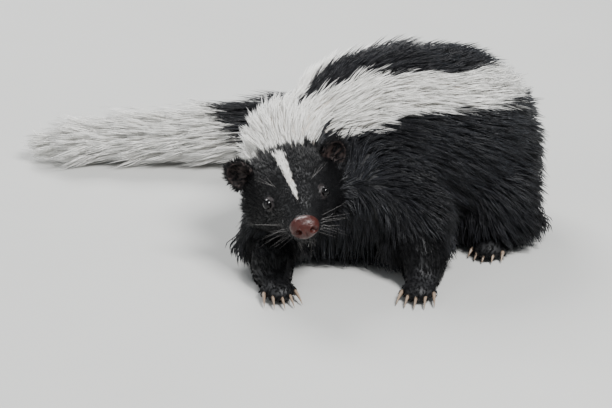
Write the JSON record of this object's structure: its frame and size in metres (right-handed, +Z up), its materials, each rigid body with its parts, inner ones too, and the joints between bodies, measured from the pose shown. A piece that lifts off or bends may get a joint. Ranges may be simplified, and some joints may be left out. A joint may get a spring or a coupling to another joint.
{
  "type": "striped skunk",
  "caption": "Young striped skunk in a low crouch, head turned to the viewer, tail laid out behind; still life-size model.",
  "frame": {"origin": "middle of the whole outline, on the floor", "axes": "+Z up from the floor, +X towards the animal's left, the viewer of the picture looks along +Y"},
  "size_m": [0.3414, 0.2874, 0.1293],
  "materials": {
    "black_fur": "long glossy black coat with bluish lights",
    "white_fur": "long soft white coat",
    "nose_skin": "moist reddish-brown bare skin",
    "eye": "wet, nearly black eye",
    "claw": "dull brown horn"
  },
  "bodies": {
    "root": {"head": "black_fur", "nose": "nose_skin", "eye_left": "eye", "eye_right": "eye", "ear_left": "black_fur", "ear_right": "black_fur", "neck": "white_fur", "torso": "black_fur", "tail_base": "black_fur", "tail_middle": "white_fur", "tail_tip": "white_fur", "foreleg_left": "black_fur", "foreleg_left_claw_1": "claw", "foreleg_left_claw_2": "claw", "foreleg_left_claw_3": "claw", "foreleg_left_claw_4": "claw", "foreleg_left_claw_5": "claw", "foreleg_right": "black_fur", "foreleg_right_claw_1": "claw", "foreleg_right_claw_2": "claw", "foreleg_right_claw_3": "claw", "foreleg_right_claw_4": "claw", "foreleg_right_claw_5": "claw", "hindleg_left": "black_fur", "hindleg_left_claw_1": "claw", "hindleg_left_claw_2": "claw", "hindleg_left_claw_3": "claw", "hindleg_left_claw_4": "claw", "hindleg_left_claw_5": "claw", "hindleg_right": "black_fur", "hindleg_right_claw_1": "claw", "hindleg_right_claw_2": "claw", "hindleg_right_claw_3": "claw", "hindleg_right_claw_4": "claw", "hindleg_right_claw_5": "claw"}
  },
  "joints": []
}
